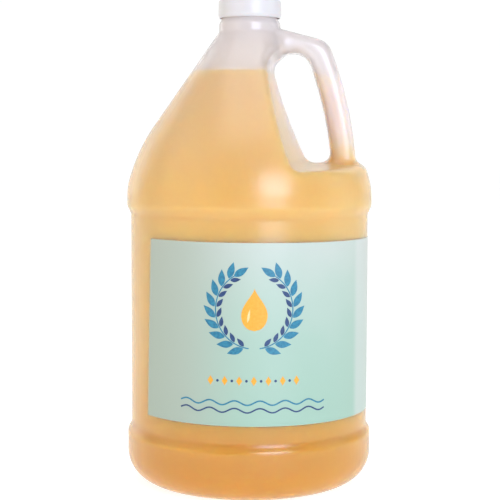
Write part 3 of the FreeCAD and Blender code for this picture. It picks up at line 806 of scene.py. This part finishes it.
def stroke(ink, points, width):
    # even line through points
    rows = []
    for i, point in enumerate(points):
        ahead = (points[min(i + 1, len(points) - 1)] - points[max(i - 1, 0)]).normalized()
        side = Vector((-ahead.y, ahead.x)) * width / 2
        rows.append([point - side, point, point + side])
    layOn(inked[ink], rows, inkInner, inkOuter)


def leafHalf(share):
    return labelPrint["leafWidth"] / 2 * math.sin(math.pi * share ** labelPrint["leafBelly"])


def dropHalf(share):
    # round up to the belly, then drawn out to a point
    belly = labelPrint["dropBelly"]
    if share < belly:
        return labelPrint["dropWidth"] / 2 * math.sqrt(max(0, 1 - (1 - share / belly) ** 2))
    taper = math.cos((share - belly) / (1 - belly) * math.pi / 2)
    return labelPrint["dropWidth"] / 2 * taper ** labelPrint["dropTaper"]


def roundHalf(share):
    return labelPrint["dotSize"] / 2 * math.sqrt(max(0, 1 - (2 * share - 1) ** 2))


def wreathHeading(turn, mirror):
    # along the wreath's arc, on its right or left half
    return turn + math.pi / 2 if mirror > 0 else math.pi / 2 - turn


wreathMiddle = Vector((labelPrint["middle"], labelFoot + labelPrint["wreathRise"]))
for mirror in (1, -1):
    arc = []
    for turn in spaced(labelPrint["wreathFrom"], labelPrint["wreathTo"], labelPrint["wreathStep"]):
        out = Vector((mirror * math.cos(turn), math.sin(turn)))
        arc.append(wreathMiddle + labelPrint["wreathRadius"] * out)
    stroke("teal", arc, labelPrint["stem"])
    for i in range(labelPrint["leaves"]):
        share = (i + 0.5) / labelPrint["leaves"]
        turn = labelPrint["wreathFrom"] + (labelPrint["wreathTo"] - labelPrint["wreathFrom"]) * share
        out = Vector((mirror * math.cos(turn), math.sin(turn)))
        for ink, side, size in (("teal", -1, 1), ("navy", 1, labelPrint["innerLeaf"])):
            heading = wreathHeading(turn + side * labelPrint["leafSplay"], mirror)
            root = wreathMiddle + out * (labelPrint["wreathRadius"] - side * labelPrint["stem"])
            blade(ink, root, heading, size * labelPrint["leafLength"], lambda share: size * leafHalf(share))
    blade("teal", arc[-1], wreathHeading(labelPrint["wreathTo"], mirror), labelPrint["leafLength"], leafHalf)

dropFoot = wreathMiddle - Vector((0, labelPrint["dropLength"] / 2))
blade("gold", dropFoot, math.pi / 2, labelPrint["dropLength"], dropHalf, steps=30, across=10)
gleamAlong, gleamRise = labelPrint["gleamPlace"]
gleam = dropFoot + Vector((gleamAlong * labelPrint["dropWidth"], gleamRise * labelPrint["dropLength"]))
blade("cream", gleam, labelPrint["gleamTurn"], labelPrint["gleamLength"] * labelPrint["dropLength"],
      lambda share: labelPrint["gleamWidth"] * leafHalf(share), labelPrint["gleamLift"])

lozengeLength, lozengeWidth = labelPrint["lozengeSize"]
lozengeRow = labelFoot + labelPrint["lozengeRise"]
for i in range(labelPrint["lozenges"]):
    along = labelPrint["middle"] + (i - (labelPrint["lozenges"] - 1) / 2) * labelPrint["lozengeGap"]
    foot = Vector((along, lozengeRow - lozengeLength / 2))
    blade("gold", foot, math.pi / 2, lozengeLength, lambda share: lozengeWidth / 2 * (1 - abs(2 * share - 1)))
    if i < labelPrint["lozenges"] - 1:
        dot = Vector((along + labelPrint["lozengeGap"] / 2 - labelPrint["dotSize"] / 2, lozengeRow))
        blade("navy", dot, 0, labelPrint["dotSize"], roundHalf)

for ink, rise in zip(("navy", "teal"), labelPrint["waveRises"]):
    path = []
    for along in spaced(-labelPrint["waveReach"], labelPrint["waveReach"], labelPrint["waveStep"]):
        swing = labelPrint["waveHeight"] * math.sin(2 * math.pi * along / labelPrint["waveLength"])
        path.append(Vector((labelPrint["middle"] + along, labelFoot + rise + swing)))
    stroke(ink, path, labelPrint["waveWidth"])

low, high = labelPrint["sideRises"]
twig = []
for rise in spaced(low, high, labelPrint["sideStep"]):
    twig.append(Vector((labelPrint["sideMiddle"], labelFoot + rise)))
stroke("pale", twig, labelPrint["stem"])
for rise in spaced(low + labelPrint["sideEnds"], high - labelPrint["sideEnds"], labelPrint["sideGap"]):
    for side in (1, -1):
        root = Vector((labelPrint["sideMiddle"] + side * labelPrint["stem"], labelFoot + rise))
        heading = math.pi / 2 - side * labelPrint["leafSplay"]
        blade("pale", root, heading, labelPrint["leafLength"], leafHalf)
blade("pale", twig[-1], math.pi / 2, labelPrint["leafLength"], leafHalf)

# Printing ink on the coated paper: flat colour with a faint mottle, satin
for name, tones in labelPrint["inks"].items():
    ink, tree, shader = newMaterial("printed_" + name + "_ink", IOR=1.5, Roughness=0.4)
    spot = addNode(tree, "ShaderNodeTexCoord").outputs["Object"]
    mottle = addNode(tree, "ShaderNodeTexNoise", {"Scale": 1 / labelPrint["mottle"], "Detail": 3.0},
                     {"Vector": spot})
    tone = addNode(tree, "ShaderNodeValToRGB", links={"Fac": mottle.outputs["Fac"]}, stops=tones)
    tree.links.new(tone.outputs["Color"], shader.inputs["Base Color"])
    newPiece("print_" + name, meshFrom(inked[name], "print" + name), ink, "jug")
print("label done")

# Stage: white floor and surroundings, two soft lights right of the camera, one at each side, one overhead
studio = {
    "floorReach": 6.0,
    "floorTone": (0.35, 0.35, 0.35, 1.0),
    "floorGlow": 0.85,
    "white": (1.0, 1.0, 1.0, 1.0),
    "backdropEdge": (0.3, 0.85),
    "front": 0.22,
    "backdrop": 1.02,
    "leftEdge": (-0.95, -0.3),
    "leftGain": 2.4,
}
reach = studio["floorReach"]
floorMesh = bpy.data.meshes.new("floor")
floorMesh.from_pydata([(-reach, -reach, 0), (reach, -reach, 0), (reach, reach, 0), (-reach, reach, 0)], [],
                      [(0, 1, 2, 3)])
floor = bpy.data.objects.new("floor", floorMesh)
bpy.context.scene.collection.objects.link(floor)
floorPaint, tree, shader = newMaterial("white_floor", Roughness=0.9, Base_Color=studio["floorTone"],
                                       Emission_Color=studio["white"], Emission_Strength=studio["floorGlow"])
floorMesh.materials.append(floorPaint)

# white backdrop behind, dim in front, brighter at the left
world = bpy.data.worlds.new("studio")
bpy.context.scene.world = world
world.use_nodes = True
tree = world.node_tree
surround = tree.nodes["Background"]
surround.inputs["Color"].default_value = studio["white"]
toward = addNode(tree, "ShaderNodeTexCoord")
axes = addNode(tree, "ShaderNodeSeparateXYZ", links={"Vector": toward.outputs["Generated"]})
backFrom, backTo = studio["backdropEdge"]
behind = addNode(tree, "ShaderNodeMapRange",
                 {"From Min": backFrom, "From Max": backTo,
                  "To Min": studio["front"], "To Max": studio["backdrop"]},
                 {"Value": axes.outputs["Y"]}, interpolation_type="SMOOTHSTEP")
leftFrom, leftTo = studio["leftEdge"]
leftSide = addNode(tree, "ShaderNodeMapRange",
                   {"From Min": leftFrom, "From Max": leftTo, "To Min": studio["leftGain"], "To Max": 1.0},
                   {"Value": axes.outputs["X"]}, interpolation_type="SMOOTHSTEP")
glow = addNode(tree, "ShaderNodeMath", links={0: behind.outputs["Result"], 1: leftSide.outputs["Result"]},
               operation="MULTIPLY")
tree.links.new(glow.outputs[0], surround.inputs["Strength"])


def softLight(name, place, target, width, height, power, tint=(1, 1, 1)):
    light = bpy.data.lights.new(name, "AREA")
    light.shape = "RECTANGLE"
    light.size = width
    light.size_y = height
    light.energy = power
    light.color = tint
    holder = bpy.data.objects.new(name, light)
    holder.location = place
    holder.rotation_euler = (Vector(target) - Vector(place)).to_track_quat("-Z", "Y").to_euler()
    bpy.context.scene.collection.objects.link(holder)


# place, aim, width, height in metres, then watts and tint
softLight("front_softbox", (0.47, -1.02, 0.62), (0, 0, 0.19), 0.6, 0.56, 3.8, (0.88, 0.97, 1.2))
softLight("front_panel", (0.48, -1.24, 0.45), (0, 0, 0.15), 0.6, 0.95, 6.3, (0.86, 0.97, 1.25))
softLight("side_softbox", (1.3, 0.0, 0.5), (0, 0, 0.15), 0.8, 1.2, 2.3, (0.96, 1.0, 1.07))
softLight("left_softbox", (-1.3, -0.5, 0.7), (0, 0, 0.15), 1.6, 1.6, 4.4, (1.14, 0.97, 0.78))
softLight("overhead_softbox", (0, -0.2, 1.6), (0, 0, 0.2), 1.4, 1.4, 8)

# Camera, as the photograph was taken
view = {
    "place": (0, -0.8415, 0.2138),
    "pitch": math.radians(4.61),
    "roll": math.radians(0.13),
    "lens": 95.5,
    "sensor": 36,
    "shift": 0.0014,
}
camera = bpy.data.objects.new("camera", bpy.data.cameras.new("camera"))
camera.data.lens = view["lens"]
camera.data.sensor_width = view["sensor"]
camera.data.shift_x = view["shift"]
tilt = Matrix.Rotation(math.pi / 2 - view["pitch"], 4, "X")
camera.matrix_world = Matrix.Translation(view["place"]) @ tilt @ Matrix.Rotation(view["roll"], 4, "Z")
bpy.context.scene.collection.objects.link(camera)
bpy.context.scene.camera = camera
bpy.context.scene.view_settings.view_transform = "Standard"

# Light goes in and out of the oil many times before it leaves the wall
bpy.context.scene.cycles.max_bounces = 24
bpy.context.scene.cycles.diffuse_bounces = 16
bpy.context.scene.cycles.glossy_bounces = 16
bpy.context.scene.cycles.transmission_bounces = 24
print("stage done")
